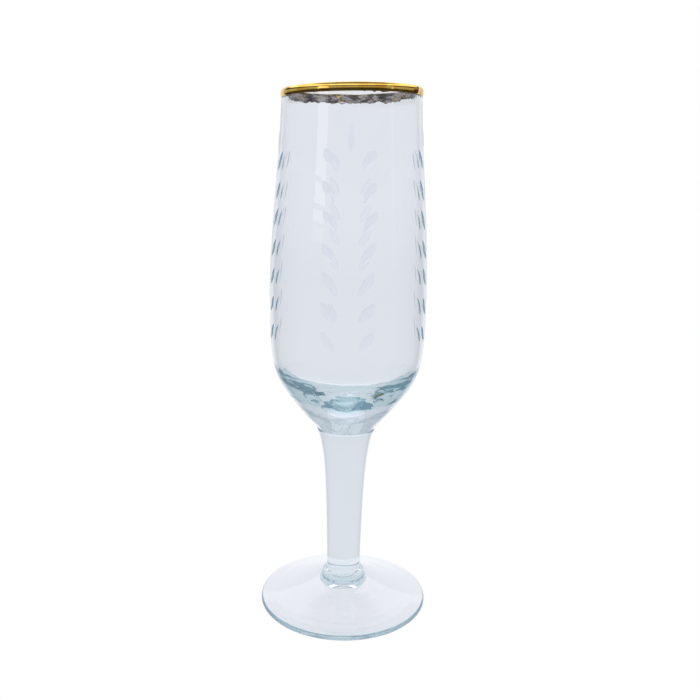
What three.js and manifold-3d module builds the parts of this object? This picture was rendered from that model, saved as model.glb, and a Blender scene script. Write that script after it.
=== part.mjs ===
// A champagne flute: a blown bowl cut with leaf branches, a drawn stem, the hub that joins
// it to the foot, a spun foot and a gilded lip. Millimetres, +Z up, and the origin is the
// centre of the face that stands on the table.
import * as THREE from "three";
import { mergeVertices } from "three/addons/utils/BufferGeometryUtils.js";
import Module from "manifold-3d";

const wasm = await Module();
wasm.setup();

// Heights, stacked from the table up.
const FOOT_RISE = 8; // table to the hub
const HUB_HEIGHT = 4.5;
const STEM_LENGTH = 60.5;
const BOWL_HEIGHT = 127; // seam with the stem to the top of the gilded lip

// Foot.
const FOOT_RADIUS = 33.3;
const FOOT_EDGE = 2; // thickness at the rounded edge
const REST_RING_WIDTH = 4.5; // flat ring that touches the table
const FOOT_KICK = 4; // how far the underside rises in the middle
const FOOT_KICK_EASE = 0.4; // how flatly the kick leaves the ring
const FOOT_SHOULDER = 6; // how far the slope flattens out beside the hub

// Hub and stem.
const HUB_RADIUS = 8.8;
const HUB_CORNER = 1.9; // rounding of the hub's edge
const STEM_FOOT_RADIUS = 6.6;
const STEM_WAIST_RADIUS = 7.4;
const STEM_NECK_DROP = 10.5; // length of the flare below the seam
const STEM_COLLAR = 0.25; // small step where the stem was worked onto the bowl
const STEM_END_ROUNDING = 0.6;

// Bowl.
const SEAM_RADIUS = 10.9;
const BOWL_RADIUS = 29.6; // at the belly
const MOUTH_RADIUS = 25.2; // outside of the wall at the lip
const BELLY_RISE = 52; // seam to belly
const BASE_FLARE = 18.2; // how far the base leans out of the seam
const BASE_FLARE_RISE = 21.4;
const BELLY_EASE = 30.5; // handles that keep the side upright at the belly and the lip
const SIDE_EASE = 22;
const LIP_EASE = 15;
const BELLY_WALL = 3.2;
const LIP_WALL = 2.2;

// Cavity: the wall comes down to a rounded heel, and a shallow cone runs in to the middle.
const BASE_THICKNESS = 10.3; // solid glass under the middle
const HEEL_WALL = 3.1; // level distance from the heel to the outside
const HEEL_RISE = 23; // seam to heel
const HEEL_SLANT = THREE.MathUtils.degToRad(44);
const HEEL_ROUNDING = 5; // length of the handles that round the heel
const FLOOR_EASE = 6; // how far the middle stays flat
const CAVITY_EASE = 18;

// Gilding, drawn thicker than real gilding so that it is a solid.
const GOLD_THICKNESS = 0.3;
const GOLD_CLEARANCE = 0.05;
const GOLD_DEPTH = 3; // top of the lip to the band's lower edge

// Leaf branches cut into the side.
const BRANCH_TURNS = [0, 82, 180, 278]; // degrees from the front; the side ones lean towards it
const LEAF_LENGTH = 8.6;
const LEAF_WIDTH = 2.5;
const LEAF_DEPTH = 0.65;
const LEAF_SLANT = THREE.MathUtils.degToRad(40); // away from upright
const LEAF_OFFSET = 7; // leaf middle to the branch's centre line
const LEAF_PITCH = 10.3;
const BRANCH_LIP_GAP = 25; // lip to the middle of the highest pair
const BRANCH_BELLY_DROP = 14; // how far below the belly the branch may start
const TIP_LEAF_GAP = 1; // between the highest pair and the upright tip leaf
const LEAF_SIDES = 6;
const LEAF_STEPS = 4;

// Facets.
const ROUND_SEGMENTS = 56;
const STEM_SEGMENTS = 36;
const SIDE_STEPS = 7;
const ARC_STEPS = 4;
const WELD_DISTANCE = 1e-4; // points closer than this are one point

// Heights worked out from the stack.
const hubZ = FOOT_RISE;
const stemZ = hubZ + HUB_HEIGHT;
const seamZ = stemZ + STEM_LENGTH;
const topZ = seamZ + BOWL_HEIGHT;
const bellyZ = seamZ + BELLY_RISE;
const goldOffset = GOLD_CLEARANCE + GOLD_THICKNESS;
const lipRadius = LIP_WALL / 2;
const lipZ = topZ - goldOffset - lipRadius; // centre of the lip's half round
const lipMiddle = MOUTH_RADIUS - lipRadius;

const glass = { color: 0xdce8ec, roughness: 0.02, metalness: 0 };
const gold = { color: 0xd9a520, roughness: 0.2, metalness: 1 };

const point = (radius, height) => new THREE.Vector2(radius, height);

// Points of a cubic curve from its start to its end.
function curve(start, startHandle, endHandle, end) {
  return new THREE.CubicBezierCurve(start, startHandle, endHandle, end).getPoints(SIDE_STEPS);
}

// Points of a circular arc in the profile's plane; the angle turns from outwards to upwards.
function arc(centreRadius, centreHeight, radius, from, to) {
  const points = [];
  for (let step = 0; step <= ARC_STEPS; step += 1) {
    const angle = THREE.MathUtils.degToRad(from + ((to - from) * step) / ARC_STEPS);
    points.push(point(centreRadius + radius * Math.cos(angle), centreHeight + radius * Math.sin(angle)));
  }
  return points;
}

// Joins stretches of profile and drops a point that repeats the one before it.
function profileOf(...stretches) {
  const points = stretches.flat();
  return points.filter((p, i) => i === 0 || p.distanceTo(points[i - 1]) > WELD_DISTANCE);
}

// Turns a profile about the +Z axis.
function turned(profile, segments) {
  const geometry = new THREE.LatheGeometry(profile, segments);
  return geometry.rotateX(Math.PI / 2);
}

function named(name, geometry, finish) {
  const mesh = new THREE.Mesh(geometry, new THREE.MeshStandardMaterial(finish));
  mesh.name = name;
  return mesh;
}

// ---- Booleans ----

function solidOf(geometry) {
  const bare = geometry.index ? geometry.toNonIndexed() : geometry.clone();
  bare.deleteAttribute("normal");
  bare.deleteAttribute("uv");
  const merged = mergeVertices(bare, WELD_DISTANCE);
  const vertProperties = new Float32Array(merged.attributes.position.array);
  const triVerts = new Uint32Array(merged.index.array);
  return new wasm.Manifold(new wasm.Mesh({ numProp: 3, vertProperties, triVerts }));
}

function geometryOf(solid) {
  const mesh = solid.getMesh();
  const geometry = new THREE.BufferGeometry();
  geometry.setAttribute("position", new THREE.BufferAttribute(new Float32Array(mesh.vertProperties), 3));
  geometry.setIndex(new THREE.BufferAttribute(new Uint32Array(mesh.triVerts), 1));
  geometry.computeVertexNormals();
  return geometry;
}

// ---- Foot, hub and stem ----

function makeFoot() {
  const edge = FOOT_EDGE / 2;
  const ringOuter = FOOT_RADIUS - edge;
  const ringInner = ringOuter - REST_RING_WIDTH;
  const underside = curve(
    point(0, FOOT_KICK),
    point(ringInner / 2, FOOT_KICK),
    point((ringInner * 2) / 3, FOOT_KICK_EASE),
    point(ringInner, 0),
  );
  const slope = curve(
    point(ringOuter, FOOT_EDGE),
    point((ringOuter + HUB_RADIUS) / 2, 2 * FOOT_EDGE),
    point(HUB_RADIUS + FOOT_SHOULDER, FOOT_RISE),
    point(HUB_RADIUS, FOOT_RISE),
  );
  const profile = profileOf(underside, arc(ringOuter, edge, edge, -90, 90), slope, [point(0, FOOT_RISE)]);
  return named("foot", turned(profile, ROUND_SEGMENTS), glass);
}

function makeHub() {
  const corner = Math.min(HUB_CORNER, HUB_HEIGHT / 2);
  const middle = HUB_RADIUS - corner;
  const profile = profileOf(
    [point(0, hubZ)],
    arc(middle, hubZ + corner, corner, -90, 0),
    arc(middle, stemZ - corner, corner, 0, 90),
    [point(0, stemZ)],
  );
  return named("foot_hub", turned(profile, STEM_SEGMENTS), glass);
}

function makeStem() {
  const rounding = STEM_END_ROUNDING;
  const collarRadius = SEAM_RADIUS + STEM_COLLAR;
  const side = curve(
    point(STEM_FOOT_RADIUS, stemZ + rounding),
    point(STEM_WAIST_RADIUS, stemZ + STEM_LENGTH / 2),
    point(STEM_WAIST_RADIUS, seamZ - STEM_NECK_DROP),
    point(collarRadius, seamZ - rounding),
  );
  const profile = profileOf(
    [point(0, stemZ)],
    arc(STEM_FOOT_RADIUS - rounding, stemZ + rounding, rounding, -90, 0),
    side,
    arc(collarRadius - rounding, seamZ - rounding, rounding, 0, 90),
    [point(0, seamZ)],
  );
  return named("stem", turned(profile, STEM_SEGMENTS), glass);
}

// ---- Bowl ----

// Outside of the bowl from the seam up to the lip's half round.
function bowlSide() {
  const base = curve(
    point(SEAM_RADIUS, seamZ),
    point(SEAM_RADIUS + BASE_FLARE, seamZ + BASE_FLARE_RISE),
    point(BOWL_RADIUS, bellyZ - BELLY_EASE),
    point(BOWL_RADIUS, bellyZ),
  );
  const side = curve(
    point(BOWL_RADIUS, bellyZ),
    point(BOWL_RADIUS, bellyZ + SIDE_EASE),
    point(MOUTH_RADIUS, lipZ - LIP_EASE),
    point(MOUTH_RADIUS, lipZ),
  );
  return profileOf(base, side);
}

// Radius and lean of the bowl's outside at a height: lean is positive where it widens upwards.
function sideAt(side, height) {
  const upper = Math.max(1, side.findIndex((p) => p.y >= height));
  const low = side[upper - 1];
  const high = side[upper];
  const along = (height - low.y) / (high.y - low.y);
  return {
    radius: THREE.MathUtils.lerp(low.x, high.x, along),
    lean: Math.atan2(high.x - low.x, high.y - low.y),
  };
}

// Inside of the bowl from the lip's half round, over the heel, to the middle of the floor.
function bowlCavity(outside) {
  const innerMouth = MOUTH_RADIUS - LIP_WALL;
  const innerBelly = BOWL_RADIUS - BELLY_WALL;
  const floorZ = seamZ + BASE_THICKNESS;
  const heelZ = seamZ + HEEL_RISE;
  const heel = point(sideAt(outside, heelZ).radius - HEEL_WALL, heelZ);
  const turn = point(Math.cos(HEEL_SLANT), Math.sin(HEEL_SLANT)).multiplyScalar(HEEL_ROUNDING);
  const side = curve(
    point(innerMouth, lipZ),
    point(innerMouth, lipZ - LIP_EASE),
    point(innerBelly, bellyZ + SIDE_EASE),
    point(innerBelly, bellyZ),
  );
  const wall = curve(
    point(innerBelly, bellyZ),
    point(innerBelly, bellyZ - CAVITY_EASE),
    heel.clone().add(turn),
    heel,
  );
  const floor = curve(heel, heel.clone().sub(turn), point(FLOOR_EASE, floorZ), point(0, floorZ));
  return profileOf(side, wall, floor);
}

// One wheel cut is a spindle with pointed ends, pressed half into the glass.
function leafCutter() {
  const halfLength = LEAF_LENGTH / 2;
  const profile = [];
  for (let step = 0; step <= LEAF_STEPS; step += 1) {
    const along = (2 * step) / LEAF_STEPS - 1;
    profile.push(point((LEAF_WIDTH / 2) * (1 - along * along), halfLength * along));
  }
  return turned(profile, LEAF_SIDES).scale(1, (2 * LEAF_DEPTH) / LEAF_WIDTH, 1);
}

// Lays a cutter on the glass: beside the branch's centre line, slanted, its depth inwards.
function placedCutter(cutter, side, branchAngle, height, offset, slant) {
  const { radius, lean } = sideAt(side, height);
  const matrix = new THREE.Matrix4()
    .makeRotationZ(branchAngle + offset / radius)
    .multiply(new THREE.Matrix4().makeTranslation(0, -radius, height))
    .multiply(new THREE.Matrix4().makeRotationX(lean))
    .multiply(new THREE.Matrix4().makeRotationY(slant));
  return solidOf(cutter.clone().applyMatrix4(matrix));
}

function leafCuts(side) {
  const cutter = leafCutter();
  const highest = topZ - BRANCH_LIP_GAP;
  const pairs = 1 + Math.floor((highest - (bellyZ - BRANCH_BELLY_DROP)) / LEAF_PITCH);
  const pairReach = (LEAF_LENGTH / 2) * Math.cos(LEAF_SLANT);
  const tipZ = highest + pairReach + TIP_LEAF_GAP + LEAF_LENGTH / 4;
  const cuts = [];
  for (const turn of BRANCH_TURNS) {
    const angle = THREE.MathUtils.degToRad(turn);
    for (let pair = 0; pair < pairs; pair += 1) {
      const height = highest - pair * LEAF_PITCH;
      cuts.push(placedCutter(cutter, side, angle, height, LEAF_OFFSET, LEAF_SLANT));
      cuts.push(placedCutter(cutter, side, angle, height, -LEAF_OFFSET, -LEAF_SLANT));
    }
    cuts.push(placedCutter(cutter, side, angle, tipZ, 0, 0));
  }
  return cuts;
}

function makeBowl() {
  const side = bowlSide();
  const lip = arc(lipMiddle, lipZ, lipRadius, 0, 180);
  const profile = profileOf([point(0, seamZ)], side, lip, bowlCavity(side));
  let bowl = solidOf(turned(profile, ROUND_SEGMENTS));
  for (const cut of leafCuts(side)) bowl = bowl.subtract(cut);
  return named("bowl", geometryOf(bowl), glass);
}

// ---- Gilding ----

// A horseshoe section over the lip: one side outside, one inside, closed on itself.
function makeGoldRim() {
  const lowZ = topZ - GOLD_DEPTH;
  const outer = lipRadius + goldOffset;
  const inner = lipRadius + GOLD_CLEARANCE;
  const profile = profileOf(
    [point(lipMiddle + outer, lowZ)],
    arc(lipMiddle, lipZ, outer, 0, 180),
    [point(lipMiddle - outer, lowZ), point(lipMiddle - inner, lowZ)],
    arc(lipMiddle, lipZ, inner, 180, 0),
    [point(lipMiddle + inner, lowZ), point(lipMiddle + outer, lowZ)],
  );
  return named("gold_rim", turned(profile, ROUND_SEGMENTS), gold);
}

const group = new THREE.Group();
group.add(makeFoot(), makeHub(), makeStem(), makeBowl(), makeGoldRim());

export default group;
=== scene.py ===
import math
import random

import bmesh
import bpy
from mathutils import Matrix, Vector, noise
from mathutils.geometry import interpolate_bezier


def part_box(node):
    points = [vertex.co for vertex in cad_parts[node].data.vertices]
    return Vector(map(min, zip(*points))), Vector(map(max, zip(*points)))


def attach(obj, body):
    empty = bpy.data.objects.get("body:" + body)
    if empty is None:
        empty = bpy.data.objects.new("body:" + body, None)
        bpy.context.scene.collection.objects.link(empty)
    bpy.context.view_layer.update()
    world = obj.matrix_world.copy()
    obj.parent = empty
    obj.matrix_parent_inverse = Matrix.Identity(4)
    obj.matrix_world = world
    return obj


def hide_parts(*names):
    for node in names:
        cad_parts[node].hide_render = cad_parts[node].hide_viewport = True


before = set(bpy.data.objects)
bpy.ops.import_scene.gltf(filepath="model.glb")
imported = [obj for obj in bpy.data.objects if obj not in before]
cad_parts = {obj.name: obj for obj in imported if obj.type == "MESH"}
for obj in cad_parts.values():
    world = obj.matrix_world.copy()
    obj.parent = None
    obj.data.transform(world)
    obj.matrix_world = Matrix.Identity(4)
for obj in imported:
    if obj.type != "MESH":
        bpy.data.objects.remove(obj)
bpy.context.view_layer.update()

MM = 0.001

# ---- Sizes read from the frame ----

_, foot_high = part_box("foot")
_, hub_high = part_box("foot_hub")
_, stem_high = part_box("stem")
bowl_low, bowl_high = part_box("bowl")
gold_low, gold_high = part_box("gold_rim")

FOOT_RADIUS = foot_high.x
FOOT_TOP = foot_high.z
HUB_RADIUS = hub_high.x
HUB_TOP = hub_high.z
COLLAR_RADIUS = stem_high.x
SEAM = bowl_low.z
BOWL_RADIUS = bowl_high.x
TOP = gold_high.z
GOLD_EDGE = gold_low.z
GOLD_RADIUS = gold_high.x

# ---- Foot, hub and stem ----

FOOT_EDGE = 2.0 * MM
REST_RING_WIDTH = 4.5 * MM
FOOT_KICK = 4.0 * MM
FOOT_KICK_EASE = 0.4 * MM
FOOT_SHOULDER = 6.0 * MM
FOOT_SEGMENTS = 192
HUB_CORNER = 1.9 * MM
STEM_FOOT_RADIUS = 6.6 * MM
STEM_WAIST_RADIUS = 7.4 * MM
STEM_NECK_DROP = 10.5 * MM
STEM_ROUNDING = 0.6 * MM
STEM_SEGMENTS = 128

# ---- Bowl ----

SEAM_RADIUS = 10.9 * MM
LIP_WALL = 2.2 * MM
BELLY_WALL = 3.2 * MM
BELLY_RISE = 52.0 * MM
BASE_FLARE = 18.2 * MM
BASE_FLARE_RISE = 21.4 * MM
BELLY_EASE = 30.5 * MM
SIDE_EASE = 22.0 * MM
LIP_EASE = 15.0 * MM
BASE_THICKNESS = 10.3 * MM
HEEL_WALL = 3.1 * MM
HEEL_RISE = 23.0 * MM
HEEL_SLANT = math.radians(44)
HEEL_ROUNDING = 5.0 * MM
FLOOR_EASE = 6.0 * MM
CAVITY_EASE = 18.0 * MM
BOWL_SEGMENTS = 224

# ---- Gold ----

GOLD_THICKNESS = 0.3 * MM
GOLD_CLEARANCE = 0.05 * MM
GOLD_SINK = 0.03 * MM  # how far the skin's hidden side lies inside the glass
GOLD_HEM = 0.28 * MM  # how much the skin thins out at its lower edge
GOLD_HEM_CORNER = (0.03 * MM, 0.02 * MM)  # out and up from that edge
GOLD_HANDLES = (0.45 * MM, 1.0 * MM)  # heights above the edge that shape the swelling out
GOLD_INSIDE_SHARE = 0.55  # of the lip's radius, inwards from its middle
GOLD_BEAD = Vector((22.3 * MM, -12.6 * MM, 199.0 * MM))
GOLD_BEAD_CORE = 0.5 * MM
GOLD_BEAD_REACH = 3.0 * MM
GOLD_BEAD_HEIGHT = 0.35 * MM
GOLD_SEGMENTS = 360
GOLD_STEPS = 8  # down the inside of the lip

# The ragged lower edge inside the lip.
RAGGED_DEPTH = 1.1 * MM  # how deep it runs at the back
RAGGED_FRONT_SHARE = 0.3  # of that depth, at the front
RAGGED_RAISE = 0.5 * MM  # how far the whole of it is held up
RAGGED_SIZE = 1.0 * MM
RAGGED_WAVES = ((5.0, 3.0, 1.0), (14.0, 7.0, 0.6), (50.0, 9.0, 0.25))  # count, seed, share

# ---- Unevenness that hand work leaves ----

LIP_TILT = math.tan(math.radians(1.5))
FLOOR_UNEVEN = 0.15 * MM
FLOOR_SWELL = 5.0 * MM
FLOOR_DIMPLE = 2.2 * MM
FLOOR_DIMPLE_SHARE = 0.5
FLOOR_ENDS = (20.0 * MM, 30.0 * MM)  # above the seam
FLOOR_MIDDLE_SHARE = 0.08  # the middle of the floor stays nearly smooth
FLOOR_MIDDLE_ENDS = (9.0 * MM, 15.0 * MM)
WALL_UNEVEN = 0.06 * MM
WALL_SWELL_INSIDE = 7.0 * MM
WALL_SWELL_OUTSIDE = 14.0 * MM
WALL_STARTS = (1.0 * MM, 12.0 * MM)
WALL_STRETCH = 0.2  # height counts for less, which draws the swells out upwards
BASE_UNEVEN = 0.38 * MM
BASE_RING = 2.0 * MM
BASE_RING_TURN = 0.25  # how much the rings change on their way round
BASE_STARTS = (0.2 * MM, 1.5 * MM)
BASE_ENDS = (8.0 * MM, 13.0 * MM)
LIP_KEPT = 2.0 * MM  # below the gold, left true so that the gold fits
FOOT_UNEVEN = 0.05 * MM
FOOT_RING = 1.5 * MM
FOOT_RING_TURN = 0.12
FOOT_RING_STARTS = (1.0 * MM, 4.0 * MM)  # out from the hub
FOOT_RING_DROP = 0.5  # puts the rings mostly below the true slope

# ---- Leaf cuts ----

BRANCH_TURNS = (0, 82, 180, 278)  # degrees from the front
LEAF_PAIRS = 7
LEAF_LENGTH = 11.0 * MM
LEAF_DEPTH = 0.45 * MM
LEAF_SLANT = math.radians(38)
LEAF_OFFSET = 7.0 * MM
LEAF_PITCH = 10.3 * MM
LEAF_STEPS = 16
BRANCH_LIP_GAP = 25.0 * MM
TIP_LEAF_RISE = 7.5 * MM
TIP_LEAF_LENGTH = 0.8 * LEAF_LENGTH
TIP_LEAF_DEPTH = 0.25 * MM
WHEEL_EDGE = 3.4 * MM
WHEEL_REACH = math.radians(28)
WHEEL_STEPS = 16
WHEEL_RIM = 1.0 * MM  # how far the wheel's rim goes on above the glass
HEIGHT_SCATTER = 0.5 * MM
OFFSET_SCATTER = 0.4 * MM
SLANT_SCATTER = math.radians(5)
LENGTH_SCATTER = 0.08

# ---- Places worked out from the sizes above ----

LIP_RADIUS = LIP_WALL / 2
LIP_HEIGHT = TOP - GOLD_CLEARANCE - GOLD_THICKNESS - LIP_RADIUS
MOUTH_RADIUS = GOLD_RADIUS - GOLD_CLEARANCE - GOLD_THICKNESS
LIP_MIDDLE = MOUTH_RADIUS - LIP_RADIUS
BELLY = SEAM + BELLY_RISE
FUSED_GAP = 0.01 * MM  # between the closed shells of two gathers that are one glass

# ---- Looks ----

GLASS_IOR = 1.5
GLASS_TINTS = ((0.985, 0.992, 0.995, 1.0), (1.0, 1.0, 1.0, 1.0))
ABSORB_COLOUR = (0.55, 0.75, 0.82, 1.0)
ABSORB_DENSITY = 11.0
CUT_ROUGHNESS = 0.06
# painted shade: a faint violet tint that darkens the wheel cuts a little
CUT_SHADE_COLOUR = (0.90, 0.91, 0.96, 1.0)
MOST_TURNS = 7  # light turned back inside the glass more often than this is let out

GOLD_BURNISH = 0.10
GOLD_DULLED = 0.30  # extra roughness on the inside of the lip
GOLD_GRAIN_BUMP = 0.04 * MM


# ---- Outlines ----

def at(radius, height):
    return Vector((radius, 0.0, height))


def curve(start, start_handle, end_handle, end, steps):
    return interpolate_bezier(start, start_handle, end_handle, end, steps + 1)


def arc(radius, height, size, start, end, steps):
    """Points of a round corner about (radius, height), from start to end in degrees."""
    points = []
    for step in range(steps + 1):
        angle = math.radians(start + (end - start) * step / steps)
        points.append(at(radius + size * math.cos(angle), height + size * math.sin(angle)))
    return points


def spun(points, segments):
    """Spins an outline round the glass's axis into a closed shell."""
    same = 0.001 * MM  # points closer than this are one point
    bm = bmesh.new()
    verts = []
    for point in points:
        if not verts or (verts[-1].co - point).length > same:
            verts.append(bm.verts.new(point))
    edges = [bm.edges.new(pair) for pair in zip(verts, verts[1:])]
    bmesh.ops.spin(
        bm, geom=verts + edges, cent=(0, 0, 0), axis=(0, 0, 1), dvec=(0, 0, 0),
        angle=math.tau, steps=segments, use_merge=True, use_normal_flip=False, use_duplicate=False)
    bmesh.ops.remove_doubles(bm, verts=bm.verts, dist=same)
    bmesh.ops.recalc_face_normals(bm, faces=bm.faces)
    return bm


def swell(place, size, seed):
    """Smooth unevenness between about -1 and 1, size across."""
    return noise.noise(place / size + Vector((seed, seed, seed)))


def fade(value, start, end):
    step = min(1.0, max(0.0, (value - start) / (end - start)))
    return step * step * (3 - 2 * step)


def tilt_lip(bm):
    """Lets the lip sit a little out of level, as a lip cut and fired by hand does."""
    for vert in bm.verts:
        share = fade(vert.co.z, BELLY, LIP_HEIGHT)
        vert.co.z += share * (vert.co.x - GOLD_RADIUS) * LIP_TILT


def piece(name, bm, material):
    mesh = bpy.data.meshes.new(name)
    bm.to_mesh(mesh)
    bm.free()
    for polygon in mesh.polygons:
        polygon.use_smooth = True
    obj = bpy.data.objects.new(name, mesh)
    bpy.context.scene.collection.objects.link(obj)
    mesh.materials.append(material)
    return obj


# ---- Materials ----

# Sockets of a colour Mix node: three inputs and the result.
SHARE, FIRST, SECOND, MIXED = 0, 6, 7, 2


def node(tree, kind, **values):
    made = tree.nodes.new(kind)
    for key, value in values.items():
        setattr(made, key, value)
    return made


def ramp(tree, stops):
    made = node(tree, "ShaderNodeValToRGB")
    elements = made.color_ramp.elements
    while len(elements) < len(stops):
        elements.new(0.5)
    for element, (position, colour) in zip(elements, stops):
        element.position = position
        element.color = (*colour, 1.0)
    return made


def grey(value):
    return (value, value, value)


def maths(tree, operation, *values):
    made = node(tree, "ShaderNodeMath", operation=operation)
    for slot, value in zip(made.inputs, values):
        if value is not None:
            slot.default_value = value
    return made


def mottling(tree, scale, detail, vector):
    made = node(tree, "ShaderNodeTexNoise")
    made.inputs["Scale"].default_value = scale
    made.inputs["Detail"].default_value = detail
    tree.links.new(vector, made.inputs["Vector"])
    return made


def hand_worked_group():
    """Slow ripples that hot working leaves in glass: height, and a faint tint mask."""
    group = bpy.data.node_groups.new("hand_worked_ripple", "ShaderNodeTree")
    for name, direction, kind in (
        ("Ripple Scale", "INPUT", "NodeSocketFloat"),
        ("Stretch", "INPUT", "NodeSocketVector"),
        ("Height", "OUTPUT", "NodeSocketFloat"),
        ("Tint", "OUTPUT", "NodeSocketFloat"),
    ):
        group.interface.new_socket(name=name, in_out=direction, socket_type=kind)
    start = node(group, "NodeGroupInput")
    end = node(group, "NodeGroupOutput")
    place = node(group, "ShaderNodeTexCoord")
    stretch = node(group, "ShaderNodeVectorMath", operation="MULTIPLY")
    ripple = mottling(group, 1.0, 1.5, stretch.outputs[0])
    tint = mottling(group, 18.0, 2.0, place.outputs["Object"])
    link = group.links.new
    link(place.outputs["Object"], stretch.inputs[0])
    link(start.outputs["Stretch"], stretch.inputs[1])
    link(start.outputs["Ripple Scale"], ripple.inputs["Scale"])
    link(ripple.outputs["Fac"], end.inputs["Height"])
    link(tint.outputs["Fac"], end.inputs["Tint"])
    return group


RIPPLE = hand_worked_group()


def glass(name, ripple_scale, stretch, bump):
    material = bpy.data.materials.new(name)
    material.use_nodes = True
    tree = material.node_tree
    link = tree.links.new
    tree.nodes.clear()
    out = node(tree, "ShaderNodeOutputMaterial")
    shader = node(tree, "ShaderNodeBsdfPrincipled")
    shader.inputs["IOR"].default_value = GLASS_IOR
    shader.inputs["Transmission Weight"].default_value = 1.0
    shader.inputs["Metallic"].default_value = 0.0
    link(shader.outputs[0], out.inputs["Surface"])

    worked = node(tree, "ShaderNodeGroup")
    worked.node_tree = RIPPLE
    worked.inputs["Ripple Scale"].default_value = ripple_scale
    worked.inputs["Stretch"].default_value = stretch
    ripple = node(tree, "ShaderNodeBump")
    ripple.inputs["Strength"].default_value = 1.0
    ripple.inputs["Distance"].default_value = bump
    link(worked.outputs["Height"], ripple.inputs["Height"])
    link(ripple.outputs[0], shader.inputs["Normal"])

    # Wheel cuts are left a little matt, and a faint violet tint on them is painted shade that
    # darkens the cuts a little.
    cut = node(tree, "ShaderNodeAttribute", attribute_name="leaf_cut")
    rough = maths(tree, "MULTIPLY", None, CUT_ROUGHNESS)
    link(cut.outputs["Fac"], rough.inputs[0])
    link(rough.outputs[0], shader.inputs["Roughness"])
    tint = node(tree, "ShaderNodeMix", data_type="RGBA")
    tint.inputs[FIRST].default_value, tint.inputs[SECOND].default_value = GLASS_TINTS
    shaded_cut = node(tree, "ShaderNodeMix", data_type="RGBA")
    shaded_cut.inputs[SECOND].default_value = CUT_SHADE_COLOUR
    link(worked.outputs["Tint"], tint.inputs[SHARE])
    link(cut.outputs["Fac"], shaded_cut.inputs[SHARE])
    link(tint.outputs[MIXED], shaded_cut.inputs[FIRST])
    link(shaded_cut.outputs[MIXED], shader.inputs["Base Color"])

    # Light passes a fused face unbent, and leaves once it has been turned back too often.
    fused = node(tree, "ShaderNodeAttribute", attribute_name="fused")
    path = node(tree, "ShaderNodeLightPath")
    held = maths(tree, "LESS_THAN", None, MOST_TURNS + 0.5)
    apart = maths(tree, "SUBTRACT", 1.0)
    alpha = maths(tree, "MULTIPLY")
    link(path.outputs["Glossy Depth"], held.inputs[0])
    link(fused.outputs["Fac"], apart.inputs[1])
    link(apart.outputs[0], alpha.inputs[0])
    link(held.outputs[0], alpha.inputs[1])
    link(alpha.outputs[0], shader.inputs["Alpha"])

    absorb = node(tree, "ShaderNodeVolumeAbsorption")
    absorb.inputs["Color"].default_value = ABSORB_COLOUR
    absorb.inputs["Density"].default_value = ABSORB_DENSITY
    link(absorb.outputs[0], out.inputs["Volume"])
    return material


def gold_material():
    """Fired gold: bright outside, thin, burnt and worn through on the inside of the lip."""
    material = bpy.data.materials.new("fired_gold")
    material.use_nodes = True
    tree = material.node_tree
    link = tree.links.new
    shader = tree.nodes["Principled BSDF"]
    shader.inputs["Metallic"].default_value = 1.0
    place = node(tree, "ShaderNodeTexCoord").outputs["Object"]
    inside = node(tree, "ShaderNodeAttribute", attribute_name="inside").outputs["Fac"]

    grain = mottling(tree, 220.0, 3.0, place)
    outer = ramp(tree, [(0.35, (0.66, 0.37, 0.05)), (0.65, (0.90, 0.62, 0.16))])
    link(grain.outputs["Fac"], outer.inputs[0])
    smeared = node(tree, "ShaderNodeMapping")
    smeared.inputs["Scale"].default_value = (0.6, 0.6, 1.8)
    link(place, smeared.inputs["Vector"])
    patches = mottling(tree, 240.0, 4.0, smeared.outputs[0])
    patches.inputs["Roughness"].default_value = 0.65
    inner = ramp(tree, [
        (0.40, (0.03, 0.02, 0.02)), (0.48, (0.11, 0.08, 0.07)), (0.55, (0.50, 0.47, 0.46)),
        (0.59, (0.20, 0.15, 0.12)), (0.66, (0.75, 0.52, 0.16))])
    link(patches.outputs["Fac"], inner.inputs[0])
    colour = node(tree, "ShaderNodeMix", data_type="RGBA")
    link(inside, colour.inputs[SHARE])
    link(outer.outputs[0], colour.inputs[FIRST])
    link(inner.outputs[0], colour.inputs[SECOND])
    link(colour.outputs[MIXED], shader.inputs["Base Color"])

    rough = maths(tree, "MULTIPLY_ADD", None, GOLD_DULLED, GOLD_BURNISH)
    link(inside, rough.inputs[0])
    link(rough.outputs[0], shader.inputs["Roughness"])

    gaps = mottling(tree, 90.0, 3.0, place)
    worn = ramp(tree, [(0.53, grey(0.0)), (0.57, grey(1.0))])
    lost = maths(tree, "MULTIPLY")
    left = maths(tree, "SUBTRACT", 1.0)
    link(gaps.outputs["Fac"], worn.inputs[0])
    link(worn.outputs[0], lost.inputs[0])
    link(inside, lost.inputs[1])
    link(lost.outputs[0], left.inputs[1])
    link(left.outputs[0], shader.inputs["Alpha"])

    bump = node(tree, "ShaderNodeBump")
    bump.inputs["Distance"].default_value = GOLD_GRAIN_BUMP
    bump.inputs["Strength"].default_value = 1.0
    link(grain.outputs["Fac"], bump.inputs["Height"])
    link(bump.outputs[0], shader.inputs["Normal"])
    return material


# ---- Making the foot, hub and stem ----

def mark_fused(obj, *heights):
    """Marks the flat faces where two gathers are fused, so that light passes them unbent."""
    level = 0.999
    close = 0.05 * MM
    mask = obj.data.attributes.new("fused", "FLOAT", "FACE")
    for polygon in obj.data.polygons:
        flat = abs(polygon.normal.z) > level
        near = any(abs(polygon.center.z - height) < close for height in heights)
        mask.data[polygon.index].value = 1.0 if flat and near else 0.0


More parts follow.
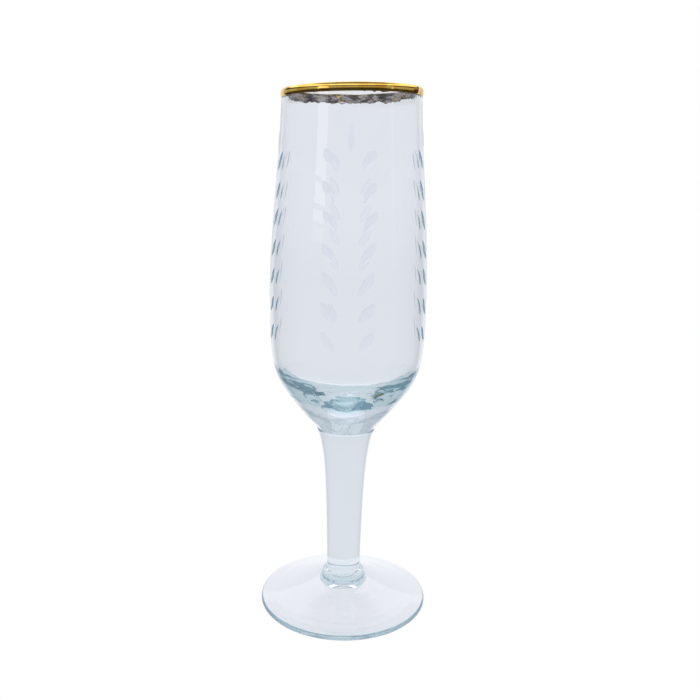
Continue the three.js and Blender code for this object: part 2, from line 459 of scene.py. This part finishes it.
def make_foot():
    edge = FOOT_EDGE / 2
    ring_outer = FOOT_RADIUS - edge
    ring_inner = ring_outer - REST_RING_WIDTH
    underside = curve(
        at(0, FOOT_KICK), at(ring_inner / 2, FOOT_KICK),
        at(ring_inner * 2 / 3, FOOT_KICK_EASE), at(ring_inner, 0), steps=32)
    rounding = arc(ring_outer, edge, edge, -90, 90, steps=16)
    slope = curve(
        at(ring_outer, FOOT_EDGE), at(ring_outer - (ring_outer - HUB_RADIUS) / 2, 2 * FOOT_EDGE),
        at(HUB_RADIUS + FOOT_SHOULDER, FOOT_TOP), at(HUB_RADIUS, FOOT_TOP), steps=48)
    bm = spun(underside + rounding + slope + [at(0, FOOT_TOP)], FOOT_SEGMENTS)
    rings_start, rings_full = (HUB_RADIUS + reach for reach in FOOT_RING_STARTS)
    for vert in bm.verts:
        radius = math.hypot(vert.co.x, vert.co.y)
        share = fade(radius, rings_start, rings_full) * (1 - fade(radius, ring_inner, ring_outer))
        if vert.co.z > FOOT_EDGE:
            rings = Vector((radius, vert.co.x * FOOT_RING_TURN, vert.co.y * FOOT_RING_TURN))
            vert.co.z += share * FOOT_UNEVEN * (swell(rings, FOOT_RING, seed=6.3) - FOOT_RING_DROP)
    obj = piece("foot_disc", bm, glass("foot_glass", 120.0, (1.0, 1.0, 1.0), 0.02 * MM))
    mark_fused(obj, FOOT_TOP)
    obj.data.set_sharp_from_angle(angle=math.radians(30))
    return obj


def make_hub():
    low = FOOT_TOP + FUSED_GAP
    high = HUB_TOP - FUSED_GAP
    middle = HUB_RADIUS - HUB_CORNER
    outline = [at(0, low)]
    outline += arc(middle, low + HUB_CORNER, HUB_CORNER, -90, 0, steps=12)
    outline += arc(middle, high - HUB_CORNER, HUB_CORNER, 0, 90, steps=12)
    outline += [at(0, high)]
    material = glass("hub_glass", 150.0, (1.0, 1.0, 1.0), 0.01 * MM)
    obj = piece("joining_hub", spun(outline, STEM_SEGMENTS), material)
    mark_fused(obj, low, high)
    obj.data.set_sharp_from_angle(angle=math.radians(30))
    return obj


def make_stem():
    low = HUB_TOP
    high = SEAM - FUSED_GAP
    outline = [at(0, low)]
    outline += arc(
        STEM_FOOT_RADIUS - STEM_ROUNDING, low + STEM_ROUNDING, STEM_ROUNDING, -90, 0, steps=6)
    outline += curve(
        at(STEM_FOOT_RADIUS, low + STEM_ROUNDING), at(STEM_WAIST_RADIUS, (low + SEAM) / 2),
        at(STEM_WAIST_RADIUS, SEAM - STEM_NECK_DROP), at(COLLAR_RADIUS, high - STEM_ROUNDING),
        steps=64)
    outline += arc(
        COLLAR_RADIUS - STEM_ROUNDING, high - STEM_ROUNDING, STEM_ROUNDING, 0, 90, steps=6)
    outline += [at(0, high)]
    material = glass("stem_glass", 60.0, (1.0, 1.0, 0.15), 0.02 * MM)
    obj = piece("drawn_stem", spun(outline, STEM_SEGMENTS), material)
    mark_fused(obj, low, high)
    obj.data.set_sharp_from_angle(angle=math.radians(30))
    return obj


# ---- Making the bowl ----

def bowl_side():
    base = curve(
        at(SEAM_RADIUS, SEAM), at(SEAM_RADIUS + BASE_FLARE, SEAM + BASE_FLARE_RISE),
        at(BOWL_RADIUS, BELLY - BELLY_EASE), at(BOWL_RADIUS, BELLY), steps=40)
    side = curve(
        at(BOWL_RADIUS, BELLY), at(BOWL_RADIUS, BELLY + SIDE_EASE),
        at(MOUTH_RADIUS, LIP_HEIGHT - LIP_EASE), at(MOUTH_RADIUS, LIP_HEIGHT), steps=60)
    return base + side[1:]


def bowl_cavity(outside):
    inner_mouth = MOUTH_RADIUS - LIP_WALL
    inner_belly = BOWL_RADIUS - BELLY_WALL
    floor = SEAM + BASE_THICKNESS
    heel_height = SEAM + HEEL_RISE
    heel = at(side_at(outside, heel_height)[0] - HEEL_WALL, heel_height)
    turn = HEEL_ROUNDING * Vector((math.cos(HEEL_SLANT), 0, math.sin(HEEL_SLANT)))
    side = curve(
        at(inner_mouth, LIP_HEIGHT), at(inner_mouth, LIP_HEIGHT - LIP_EASE),
        at(inner_belly, BELLY + SIDE_EASE), at(inner_belly, BELLY), steps=48)
    wall = curve(
        at(inner_belly, BELLY), at(inner_belly, BELLY - CAVITY_EASE), heel + turn, heel, steps=48)
    base = curve(heel, heel - turn, at(FLOOR_EASE, floor), at(0, floor), steps=48)
    return side + wall[1:] + base[1:]


def side_at(side, height):
    """Radius of the bowl's side at a height, and how far it leans out from upright there."""
    upper = next(i for i, point in enumerate(side) if point.z >= height)
    low, high = side[upper - 1], side[upper]
    along = (height - low.z) / (high.z - low.z)
    return low.x + (high.x - low.x) * along, math.atan2(high.x - low.x, high.z - low.z)


def work_inside(place, radius, rise):
    low = 1 - fade(rise, *FLOOR_ENDS)
    low *= FLOOR_MIDDLE_SHARE + (1 - FLOOR_MIDDLE_SHARE) * fade(radius, *FLOOR_MIDDLE_ENDS)
    drawn = Vector((place.x, place.y, place.z * WALL_STRETCH))
    return (
        low * FLOOR_UNEVEN * swell(place, FLOOR_SWELL, seed=3.1)
        + low * FLOOR_UNEVEN * FLOOR_DIMPLE_SHARE * swell(place, FLOOR_DIMPLE, seed=8.4)
        + WALL_UNEVEN * swell(drawn, WALL_SWELL_INSIDE, seed=5.7))


def work_outside(place, rise):
    base = fade(rise, *BASE_STARTS) * (1 - fade(rise, *BASE_ENDS))
    rings = Vector((place.x * BASE_RING_TURN, place.y * BASE_RING_TURN, place.z))
    return (
        base * BASE_UNEVEN * swell(rings, BASE_RING, seed=1.3)
        + fade(rise, *WALL_STARTS) * WALL_UNEVEN * swell(place, WALL_SWELL_OUTSIDE, seed=2.2))


def work_bowl(bm):
    """Unevenness left by blowing and shaping: strong low in the bowl, faint higher up."""
    facing_up = 0.3  # upward part of a normal, from which a face is floor
    bm.normal_update()
    moves = []
    for vert in bm.verts:
        radial = Vector((vert.co.x, vert.co.y, 0))
        floor = vert.normal.z > facing_up and vert.co.z < BELLY
        if vert.co.z > GOLD_EDGE - LIP_KEPT:
            continue
        if floor or vert.normal.dot(radial) < 0:
            size = work_inside(vert.co, radial.length, vert.co.z - SEAM)
        else:
            size = work_outside(vert.co, vert.co.z - SEAM)
        moves.append((vert, vert.normal * size))
    for vert, move in moves:
        vert.co += move


def leaf_cut(cutters, side, branch_angle, height, offset, slant, length, depth):
    """One wheel cut: the round edge of a cutting wheel, pressed deepest at the leaf's middle."""
    radius, lean = side_at(side, height)
    clear = WHEEL_EDGE - depth
    rim = clear - WHEEL_RIM
    bm = bmesh.new()
    verts = [bm.verts.new((0, rim, length / 2)), bm.verts.new((0, rim, -length / 2))]
    for step in range(LEAF_STEPS + 1):
        along = 2 * step / LEAF_STEPS - 1
        pressed = depth * (1 - along * along) ** 2
        verts.append(bm.verts.new((0, clear + pressed, length / 2 * along)))
    edges = [bm.edges.new(pair) for pair in zip(verts, verts[1:] + verts[:1])]
    bmesh.ops.rotate(bm, verts=verts, cent=(0, 0, 0), matrix=Matrix.Rotation(-WHEEL_REACH, 3, "Z"))
    bmesh.ops.spin(
        bm, geom=verts + edges, cent=(0, 0, 0), axis=(0, 0, 1), dvec=(0, 0, 0),
        angle=2 * WHEEL_REACH, steps=WHEEL_STEPS,
        use_merge=False, use_normal_flip=False, use_duplicate=False)
    bmesh.ops.holes_fill(bm, edges=bm.edges, sides=0)
    bmesh.ops.translate(bm, verts=bm.verts, vec=(0, -clear, 0))
    bmesh.ops.recalc_face_normals(bm, faces=bm.faces)
    place = (
        Matrix.Rotation(branch_angle + offset / radius, 4, "Z")
        @ Matrix.Translation((0, -radius, height))
        @ Matrix.Rotation(lean, 4, "X")
        @ Matrix.Rotation(slant, 4, "Y"))
    bmesh.ops.transform(bm, matrix=place, verts=bm.verts)
    part = bpy.data.meshes.new("leaf")
    bm.to_mesh(part)
    bm.free()
    cutters.from_mesh(part)
    bpy.data.meshes.remove(part)


def make_cutters(side):
    """Leaf cuts of every branch, each set by hand and so a little off its true place."""
    rng = random.Random(7)
    cutters = bmesh.new()
    highest = TOP - BRANCH_LIP_GAP
    for turn in BRANCH_TURNS:
        angle = math.radians(turn)
        for pair in range(LEAF_PAIRS):
            for hand in (1, -1):
                height = highest - pair * LEAF_PITCH + rng.uniform(-HEIGHT_SCATTER, HEIGHT_SCATTER)
                offset = hand * (LEAF_OFFSET + rng.uniform(-OFFSET_SCATTER, OFFSET_SCATTER))
                slant = hand * (LEAF_SLANT + rng.uniform(-SLANT_SCATTER, SLANT_SCATTER))
                length = LEAF_LENGTH * rng.uniform(1 - LENGTH_SCATTER, 1 + LENGTH_SCATTER)
                leaf_cut(cutters, side, angle, height, offset, slant, length, LEAF_DEPTH)
        tip = highest + TIP_LEAF_RISE
        leaf_cut(cutters, side, angle, tip, 0, 0, TIP_LEAF_LENGTH, TIP_LEAF_DEPTH)
    tilt_lip(cutters)
    return cutters


def make_bowl():
    side = bowl_side()
    lip = arc(LIP_MIDDLE, LIP_HEIGHT, LIP_RADIUS, 0, 180, steps=16)
    bm = spun([at(0, SEAM)] + side + lip[1:] + bowl_cavity(side)[1:], BOWL_SEGMENTS)
    work_bowl(bm)
    tilt_lip(bm)
    body = piece("bowl_body", bm, glass("bowl_glass", 45.0, (1.0, 1.0, 0.12), 0.02 * MM))
    cut_mark = bpy.data.materials.new("cut_mark")
    body.data.materials.append(cut_mark)
    cutter = piece("leaf_cutters", make_cutters(side), cut_mark)
    cutting = body.modifiers.new("leaf cuts", "BOOLEAN")
    cutting.operation = "DIFFERENCE"
    cutting.solver = "EXACT"
    cutting.object = cutter
    cutting.material_mode = "TRANSFER"
    bpy.context.view_layer.update()
    depsgraph = bpy.context.evaluated_depsgraph_get()
    cut_mesh = bpy.data.meshes.new_from_object(body.evaluated_get(depsgraph))
    body.modifiers.clear()
    body.data = cut_mesh
    bpy.data.objects.remove(cutter)

    # The cut faces are known by the cutter's material, which then goes.
    mask = cut_mesh.attributes.new("leaf_cut", "FLOAT", "FACE")
    for polygon in cut_mesh.polygons:
        polygon.use_smooth = True
        mask.data[polygon.index].value = 1.0 if polygon.material_index > 0 else 0.0
        polygon.material_index = 0
    while len(cut_mesh.materials) > 1:
        cut_mesh.materials.pop()
    mark_fused(body, SEAM)
    cut_mesh.set_sharp_from_angle(angle=math.radians(12))
    return body


# ---- Making the gold rim ----

def gold_outline(low):
    outer = LIP_RADIUS + GOLD_CLEARANCE + GOLD_THICKNESS
    inner = LIP_RADIUS - GOLD_SINK
    outer_side = LIP_MIDDLE + outer
    drop = LIP_HEIGHT - low
    hem = at(outer_side - GOLD_HEM, low)
    outline = [at(LIP_MIDDLE + inner, low), hem]
    outline += curve(
        hem + at(*GOLD_HEM_CORNER), at(outer_side, low + GOLD_HANDLES[0]),
        at(outer_side, low + GOLD_HANDLES[1]), at(outer_side, LIP_HEIGHT), steps=14)[:-1]
    outline += arc(LIP_MIDDLE, LIP_HEIGHT, outer, 0, 180, steps=24)
    for step in range(1, GOLD_STEPS + 1):
        outline.append(at(LIP_MIDDLE - outer, LIP_HEIGHT - drop * step / GOLD_STEPS))
    for step in range(GOLD_STEPS):
        outline.append(at(LIP_MIDDLE - inner, low + drop * step / GOLD_STEPS))
    outline += arc(LIP_MIDDLE, LIP_HEIGHT, inner, 180, 0, steps=24)
    return outline + [at(LIP_MIDDLE + inner, low)]


def make_gold_rim():
    low = GOLD_EDGE
    bm = spun(gold_outline(low), GOLD_SEGMENTS)
    inside_from = LIP_MIDDLE - LIP_RADIUS * GOLD_INSIDE_SHARE
    rim_start = LIP_HEIGHT + 0.1 * MM  # where the lip starts to round over
    for vert in bm.verts:
        around = math.atan2(vert.co.y, vert.co.x)
        if math.hypot(vert.co.x, vert.co.y) < inside_from and vert.co.z < rim_start:
            along = max(0.0, (LIP_HEIGHT - vert.co.z) / (LIP_HEIGHT - low))
            ragged = sum(
                share * noise.noise(Vector((around * count, seed, 0.0)))
                for count, seed, share in RAGGED_WAVES)
            back = fade(vert.co.y, -MOUTH_RADIUS, MOUTH_RADIUS)
            deeper = RAGGED_FRONT_SHARE + (1 - RAGGED_FRONT_SHARE) * back
            vert.co.z -= along * (RAGGED_DEPTH * deeper - RAGGED_RAISE + RAGGED_SIZE * ragged)
        bead = 1 - fade((vert.co - GOLD_BEAD).length, GOLD_BEAD_CORE, GOLD_BEAD_REACH)
        vert.co += Vector((vert.co.x, vert.co.y, 0)).normalized() * GOLD_BEAD_HEIGHT * bead
    tilt_lip(bm)
    obj = piece("gilded_lip", bm, gold_material())
    mask = obj.data.attributes.new("inside", "FLOAT", "POINT")
    for vert in obj.data.vertices:
        inside = math.hypot(vert.co.x, vert.co.y) < inside_from
        mask.data[vert.index].value = 1.0 if inside else 0.0
    obj.data.set_sharp_from_angle(angle=math.radians(40))
    return obj


foot = make_foot()
hub = make_hub()
stem = make_stem()
bowl = make_bowl()
gold = make_gold_rim()

for made, cad_name, slot in (
    (foot, "foot", "clear_glass"),
    (hub, "foot_hub", "clear_glass"),
    (stem, "stem", "clear_glass"),
    (bowl, "bowl", "clear_glass"),
    (gold, "gold_rim", "gold_lustre"),
):
    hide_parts(cad_name)
    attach(made, "root")

# ---- Floor, light and camera ----

# What light finds once it has been through glass, by how often it was turned back inside it.
THROUGH = [
    (0.0, (0.855, 0.875, 0.928)),
    (0.125, (0.79, 0.81, 0.88)),
    (0.25, (0.80, 0.84, 0.885)),
    (0.5, (0.74, 0.80, 0.85)),
    (0.75, (0.66, 0.74, 0.80)),
    (1.0, (0.36, 0.46, 0.53)),
]
THROUGH_TURNS = 8.0  # turns at the last stop
THROUGH_STRENGTH = 1.17
# How much brighter the room is there, by height: a lit table below, a soft sky above.
AROUND = [
    (0.0, grey(1.05)), (0.10, grey(1.0)), (0.20, grey(0.83)),
    (0.28, grey(0.80)), (0.6, grey(0.80)), (1.0, grey(0.74)),
]
# The room that the outside of the glass and the gold mirror, by height; the horizon is at 0.5.
ROOM = [
    (0.0, grey(0.16)),
    (0.30, grey(0.06)),
    (0.47, grey(0.05)),
    (0.52, grey(0.50)),
    (0.56, grey(0.60)),
    (0.60, grey(0.08)),
    (0.70, grey(0.08)),
    (0.74, grey(1.60)),
    (0.88, grey(1.60)),
    (0.93, grey(0.35)),
    (1.0, grey(0.30)),
]
# That room is white straight behind the glass.
BEHIND = [(0.65, grey(0.0)), (0.80, grey(1.0))]

WINDOW_AZIMUTH = -45
WINDOW_WIDTH = 0.30
# Middle height, height and power of each pane, from the top down.
WINDOW_PANES = [
    (0.334, 0.068, 0.10), (0.274, 0.036, 0.053), (0.234, 0.022, 0.028), (0.20, 0.03, 0.016)]
LIGHT_DISTANCE = 1.0
LIGHT_AIM = Vector((0, 0, 0.16))

FLOOR_RADIUS = 4.0
FLOOR_DROP = 0.05 * MM

CAMERA_PLACE = Vector((1.05 * MM, -292.2 * MM, 171.6 * MM))
CAMERA_PITCH = math.radians(90 - 13.06)
CAMERA_ROLL = math.radians(1.12)
CAMERA_LENS = 40.2


def floor_material():
    material = bpy.data.materials.new("pale_floor")
    material.use_nodes = True
    tree = material.node_tree
    tree.nodes.clear()
    out = node(tree, "ShaderNodeOutputMaterial")
    white = node(tree, "ShaderNodeEmission")
    white.inputs["Color"].default_value = (1.0, 1.0, 1.0, 1.0)
    tree.links.new(white.outputs[0], out.inputs["Surface"])
    return material


def make_floor():
    """A pale floor that only the camera sees, so no horizon shows through the glass."""
    bm = bmesh.new()
    bmesh.ops.create_circle(bm, cap_ends=True, segments=96, radius=FLOOR_RADIUS)
    bmesh.ops.translate(bm, verts=bm.verts, vec=(0, 0, -FLOOR_DROP))
    obj = piece("pale_floor", bm, floor_material())
    obj.visible_glossy = False
    obj.visible_transmission = False
    obj.visible_diffuse = False
    obj.visible_shadow = False


def make_world():
    """White to the camera, a soft grey through glass, and a room of its own in reflections."""
    world = bpy.data.worlds.new("soft_studio")
    bpy.context.scene.world = world
    world.use_nodes = True
    tree = world.node_tree
    tree.nodes.clear()
    link = tree.links.new
    out = node(tree, "ShaderNodeOutputWorld")
    path = node(tree, "ShaderNodeLightPath")
    place = node(tree, "ShaderNodeTexCoord")
    split = node(tree, "ShaderNodeSeparateXYZ")
    link(place.outputs["Generated"], split.inputs[0])
    height = maths(tree, "MULTIPLY_ADD", None, 0.5, 0.5)
    link(split.outputs["Z"], height.inputs[0])

    turns = maths(tree, "DIVIDE", None, THROUGH_TURNS)
    depth = ramp(tree, THROUGH)
    around = ramp(tree, AROUND)
    shaded = node(tree, "ShaderNodeMix", data_type="RGBA", blend_type="MULTIPLY")
    shaded.inputs[SHARE].default_value = 1.0
    through = node(tree, "ShaderNodeBackground")
    through.inputs["Strength"].default_value = THROUGH_STRENGTH
    link(path.outputs["Glossy Depth"], turns.inputs[0])
    link(turns.outputs[0], depth.inputs[0])
    link(height.outputs[0], around.inputs[0])
    link(depth.outputs[0], shaded.inputs[FIRST])
    link(around.outputs[0], shaded.inputs[SECOND])
    link(shaded.outputs[MIXED], through.inputs["Color"])

    room = ramp(tree, ROOM)
    behind = ramp(tree, BEHIND)
    brighter = node(tree, "ShaderNodeMix", data_type="RGBA", blend_type="LIGHTEN")
    brighter.inputs[SHARE].default_value = 1.0
    mirror = node(tree, "ShaderNodeBackground")
    link(height.outputs[0], room.inputs[0])
    link(split.outputs["Y"], behind.inputs[0])
    link(room.outputs[0], brighter.inputs[FIRST])
    link(behind.outputs[0], brighter.inputs[SECOND])
    link(brighter.outputs[MIXED], mirror.inputs["Color"])

    outside = maths(tree, "LESS_THAN", None, 0.5)
    mirrored = maths(tree, "MULTIPLY")
    lit = node(tree, "ShaderNodeMixShader")
    link(path.outputs["Transmission Depth"], outside.inputs[0])
    link(outside.outputs[0], mirrored.inputs[0])
    link(path.outputs["Is Glossy Ray"], mirrored.inputs[1])
    link(mirrored.outputs[0], lit.inputs[0])
    link(through.outputs[0], lit.inputs[1])
    link(mirror.outputs[0], lit.inputs[2])

    white = node(tree, "ShaderNodeBackground")
    white.inputs["Color"].default_value = (1, 1, 1, 1)
    seen = node(tree, "ShaderNodeMixShader")
    link(path.outputs["Is Camera Ray"], seen.inputs[0])
    link(lit.outputs[0], seen.inputs[1])
    link(white.outputs[0], seen.inputs[2])
    link(seen.outputs[0], out.inputs["Surface"])


def softbox(name, azimuth, height, width, tall, power):
    """A light that only the outside of the piece mirrors."""
    data = bpy.data.lights.new(name, "AREA")
    data.shape = "RECTANGLE"
    data.size = width
    data.size_y = tall
    data.energy = power
    obj = bpy.data.objects.new(name, data)
    bpy.context.scene.collection.objects.link(obj)
    angle = math.radians(azimuth)
    obj.location = (LIGHT_DISTANCE * math.sin(angle), -LIGHT_DISTANCE * math.cos(angle), height)
    aim = LIGHT_AIM - obj.location
    obj.rotation_mode = "QUATERNION"
    obj.rotation_quaternion = aim.to_track_quat("-Z", "Y")
    obj.visible_transmission = False


def make_camera():
    data = bpy.data.cameras.new("view")
    data.sensor_width = 36.0
    data.lens = CAMERA_LENS
    data.clip_start = 0.01
    data.clip_end = 20.0
    obj = bpy.data.objects.new("view", data)
    bpy.context.scene.collection.objects.link(obj)
    obj.location = CAMERA_PLACE
    obj.rotation_mode = "QUATERNION"
    tilt = Matrix.Rotation(CAMERA_PITCH, 3, "X") @ Matrix.Rotation(CAMERA_ROLL, 3, "Z")
    obj.rotation_quaternion = tilt.to_quaternion()
    bpy.context.scene.camera = obj


make_floor()
make_world()
for i, (height, tall, power) in enumerate(WINDOW_PANES):
    softbox(f"window_pane_{i + 1}", WINDOW_AZIMUTH, height, WINDOW_WIDTH, tall, power)
softbox("strip", azimuth=66, height=0.25, width=0.05, tall=0.30, power=0.03)
make_camera()

scene = bpy.context.scene
scene.view_settings.view_transform = "Standard"
scene.cycles.max_bounces = 32
scene.cycles.transmission_bounces = 24
scene.cycles.glossy_bounces = 16
scene.cycles.transparent_max_bounces = 16
scene.cycles.volume_bounces = 0
